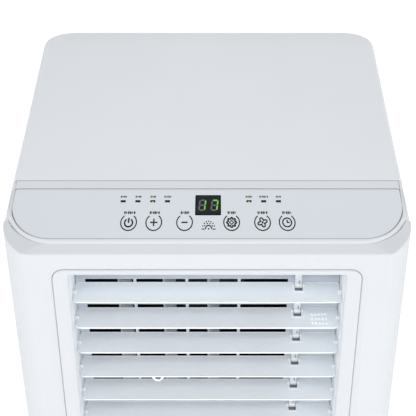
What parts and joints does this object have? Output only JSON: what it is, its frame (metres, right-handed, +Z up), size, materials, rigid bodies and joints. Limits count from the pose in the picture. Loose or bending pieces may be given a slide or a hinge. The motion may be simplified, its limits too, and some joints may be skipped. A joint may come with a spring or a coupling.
{
  "type": "portable air conditioner",
  "caption": "Portable air conditioner on castors: tall white cabinet, membrane control panel with display on top, louvred cold-air outlet in front, round exhaust collar behind.",
  "frame": {"origin": "middle of the footprint on the floor, at the foot of the castors", "axes": "+Z up; -Y is the front with the air outlet; +X is to the right seen from the front"},
  "size_m": [0.3, 0.326, 0.68],
  "materials": {
    "shell_white": "fine satin moulded",
    "trim_white": "satin gloss",
    "blade_white": "satin",
    "panel_film": "smooth film",
    "display_black": "gloss tinted",
    "black_plastic": "matt",
    "circuit_board": "satin",
    "key_plastic": "satin",
    "foam_housing": "bead foam",
    "coil_fins": "fine fins",
    "copper_pipe": "drawn",
    "motor_steel": "satin black paint",
    "tyre_rubber": "matt",
    "filter_mesh": "fine mesh"
  },
  "bodies": {
    "cabinet": {"base_pan": "shell_white", "front_cover": "shell_white", "rear_cover": "shell_white", "top_cover": "shell_white", "intake_grille_lower": "shell_white", "exhaust_collar": "shell_white", "handle_cup_right": "shell_white", "handle_cup_left": "shell_white", "control_moulding": "trim_white", "outlet_frame": "trim_white", "outlet_guard": "trim_white", "drain_socket": "trim_white", "control_film": "panel_film", "display_window": "display_black", "control_board": "circuit_board", "drip_tray": "foam_housing", "hot_fan_housing": "foam_housing", "electrical_box": "foam_housing", "evaporator_coil": "coil_fins", "condenser_coil": "coil_fins", "discharge_pipe": "copper_pipe", "suction_pipe": "copper_pipe", "liquid_pipe": "copper_pipe", "cold_fan_motor": "motor_steel", "hot_fan_motor": "motor_steel", "compressor": "motor_steel", "cold_fan_housing": "black_plastic", "display_module": "black_plastic", "cord_gland": "black_plastic"},
    "louver_1": {"louver_1": "blade_white"},
    "louver_2": {"louver_2": "blade_white"},
    "louver_3": {"louver_3": "blade_white"},
    "louver_4": {"louver_4": "blade_white"},
    "louver_5": {"louver_5": "blade_white"},
    "louver_6": {"louver_6": "blade_white"},
    "louver_link": {"louver_link": "trim_white"},
    "vane_1": {"vane_1": "blade_white"},
    "vane_2": {"vane_2": "blade_white"},
    "vane_3": {"vane_3": "blade_white"},
    "vane_link": {"vane_link": "trim_white"},
    "castor_1_fork": {"castor_fork_1": "black_plastic"},
    "castor_2_fork": {"castor_fork_2": "black_plastic"},
    "castor_3_fork": {"castor_fork_3": "black_plastic"},
    "castor_4_fork": {"castor_fork_4": "black_plastic"},
    "castor_1_wheel": {"castor_wheel_1": "tyre_rubber"},
    "castor_2_wheel": {"castor_wheel_2": "tyre_rubber"},
    "castor_3_wheel": {"castor_wheel_3": "tyre_rubber"},
    "castor_4_wheel": {"castor_wheel_4": "tyre_rubber"},
    "cold_fan": {"cold_fan_wheel": "black_plastic"},
    "hot_fan": {"hot_fan_wheel": "black_plastic"},
    "intake_grille": {"intake_grille_upper": "shell_white", "intake_filter": "filter_mesh"},
    "drain_plug_upper": {"drain_cap_upper": "black_plastic"},
    "drain_plug_lower": {"drain_cap_lower": "black_plastic"},
    "key_power": {"key_power": "key_plastic"},
    "key_up": {"key_up": "key_plastic"},
    "key_down": {"key_down": "key_plastic"},
    "key_mode": {"key_mode": "key_plastic"},
    "key_speed": {"key_speed": "key_plastic"},
    "key_timer": {"key_timer": "key_plastic"}
  },
  "joints": [
    {"name": "louver_1_hinge", "type": "hinge", "parent": "cabinet", "child": "louver_1", "pos_m": [0, -0.144, 0.624], "axis": [1, 0, 0], "range_deg": [-30, 45]},
    {"name": "louver_2_hinge", "type": "hinge", "parent": "cabinet", "child": "louver_2", "pos_m": [0, -0.144, 0.5983], "axis": [1, 0, 0], "range_deg": [-30, 45]},
    {"name": "louver_3_hinge", "type": "hinge", "parent": "cabinet", "child": "louver_3", "pos_m": [0, -0.144, 0.5726], "axis": [1, 0, 0], "range_deg": [-30, 45]},
    {"name": "louver_4_hinge", "type": "hinge", "parent": "cabinet", "child": "louver_4", "pos_m": [0, -0.144, 0.5469], "axis": [1, 0, 0], "range_deg": [-30, 45]},
    {"name": "louver_5_hinge", "type": "hinge", "parent": "cabinet", "child": "louver_5", "pos_m": [0, -0.144, 0.5212], "axis": [1, 0, 0], "range_deg": [-30, 45]},
    {"name": "louver_6_hinge", "type": "hinge", "parent": "cabinet", "child": "louver_6", "pos_m": [0, -0.144, 0.4955], "axis": [1, 0, 0], "range_deg": [-30, 45]},
    {"name": "louver_link_pivot", "type": "hinge", "parent": "louver_1", "child": "louver_link", "pos_m": [0.0686, -0.13551, 0.62355], "axis": [1, 0, 0], "range_deg": [-45, 30]},
    {"name": "vane_1_hinge", "type": "hinge", "parent": "cabinet", "child": "vane_1", "pos_m": [-0.0645, -0.112, 0.565], "axis": [0, 0, 1], "range_deg": [-10, 60]},
    {"name": "vane_2_hinge", "type": "hinge", "parent": "cabinet", "child": "vane_2", "pos_m": [-0.0298, -0.112, 0.565], "axis": [0, 0, 1], "range_deg": [-10, 60]},
    {"name": "vane_3_hinge", "type": "hinge", "parent": "cabinet", "child": "vane_3", "pos_m": [0.0045, -0.112, 0.565], "axis": [0, 0, 1], "range_deg": [-10, 60]},
    {"name": "vane_link_pivot", "type": "hinge", "parent": "vane_1", "child": "vane_link", "pos_m": [-0.06154, -0.10566, 0.487], "axis": [0, 0, 1], "range_deg": [-60, 10]},
    {"name": "castor_1_swivel", "type": "hinge", "parent": "cabinet", "child": "castor_1_fork", "pos_m": [-0.108, -0.122, 0.044], "axis": [0, 0, 1], "continuous": true},
    {"name": "castor_1_roll", "type": "hinge", "parent": "castor_1_fork", "child": "castor_1_wheel", "pos_m": [-0.108, -0.134, 0.019], "axis": [1, 0, 0], "continuous": true},
    {"name": "castor_2_swivel", "type": "hinge", "parent": "cabinet", "child": "castor_2_fork", "pos_m": [0.108, -0.122, 0.044], "axis": [0, 0, 1], "continuous": true},
    {"name": "castor_2_roll", "type": "hinge", "parent": "castor_2_fork", "child": "castor_2_wheel", "pos_m": [0.108, -0.134, 0.019], "axis": [1, 0, 0], "continuous": true},
    {"name": "castor_3_swivel", "type": "hinge", "parent": "cabinet", "child": "castor_3_fork", "pos_m": [-0.108, 0.122, 0.044], "axis": [0, 0, 1], "continuous": true},
    {"name": "castor_3_roll", "type": "hinge", "parent": "castor_3_fork", "child": "castor_3_wheel", "pos_m": [-0.108, 0.11, 0.019], "axis": [1, 0, 0], "continuous": true},
    {"name": "castor_4_swivel", "type": "hinge", "parent": "cabinet", "child": "castor_4_fork", "pos_m": [0.108, 0.122, 0.044], "axis": [0, 0, 1], "continuous": true},
    {"name": "castor_4_roll", "type": "hinge", "parent": "castor_4_fork", "child": "castor_4_wheel", "pos_m": [0.108, 0.11, 0.019], "axis": [1, 0, 0], "continuous": true},
    {"name": "cold_fan_spin", "type": "hinge", "parent": "cabinet", "child": "cold_fan", "pos_m": [0, 0.05, 0.52], "axis": [0, 1, 0], "continuous": true},
    {"name": "hot_fan_spin", "type": "hinge", "parent": "cabinet", "child": "hot_fan", "pos_m": [0, -0.006, 0.302], "axis": [0, 0, 1], "continuous": true},
    {"name": "intake_grille_pull", "type": "slide", "parent": "cabinet", "child": "intake_grille", "axis": [0, 1, 0], "range_m": [0, 0.03]},
    {"name": "drain_plug_upper_pull", "type": "slide", "parent": "cabinet", "child": "drain_plug_upper", "axis": [0, 1, 0], "range_m": [0, 0.015]},
    {"name": "drain_plug_lower_pull", "type": "slide", "parent": "cabinet", "child": "drain_plug_lower", "axis": [0, 1, 0], "range_m": [0, 0.015]},
    {"name": "key_power_press", "type": "slide", "parent": "cabinet", "child": "key_power", "axis": [0, 0, -1], "range_m": [0, 0.0003], "stiffness_N_per_m": 1500},
    {"name": "key_up_press", "type": "slide", "parent": "cabinet", "child": "key_up", "axis": [0, 0, -1], "range_m": [0, 0.0003], "stiffness_N_per_m": 1500},
    {"name": "key_down_press", "type": "slide", "parent": "cabinet", "child": "key_down", "axis": [0, 0, -1], "range_m": [0, 0.0003], "stiffness_N_per_m": 1500},
    {"name": "key_mode_press", "type": "slide", "parent": "cabinet", "child": "key_mode", "axis": [0, 0, -1], "range_m": [0, 0.0003], "stiffness_N_per_m": 1500},
    {"name": "key_speed_press", "type": "slide", "parent": "cabinet", "child": "key_speed", "axis": [0, 0, -1], "range_m": [0, 0.0003], "stiffness_N_per_m": 1500},
    {"name": "key_timer_press", "type": "slide", "parent": "cabinet", "child": "key_timer", "axis": [0, 0, -1], "range_m": [0, 0.0003], "stiffness_N_per_m": 1500}
  ],
  "couplings": [
    {"joint": "louver_2_hinge", "follows": "louver_1_hinge", "ratio": 1},
    {"joint": "louver_3_hinge", "follows": "louver_1_hinge", "ratio": 1},
    {"joint": "louver_4_hinge", "follows": "louver_1_hinge", "ratio": 1},
    {"joint": "louver_5_hinge", "follows": "louver_1_hinge", "ratio": 1},
    {"joint": "louver_6_hinge", "follows": "louver_1_hinge", "ratio": 1},
    {"joint": "louver_link_pivot", "follows": "louver_1_hinge", "ratio": -1},
    {"joint": "vane_2_hinge", "follows": "vane_1_hinge", "ratio": 1},
    {"joint": "vane_3_hinge", "follows": "vane_1_hinge", "ratio": 1},
    {"joint": "vane_link_pivot", "follows": "vane_1_hinge", "ratio": -1}
  ]
}
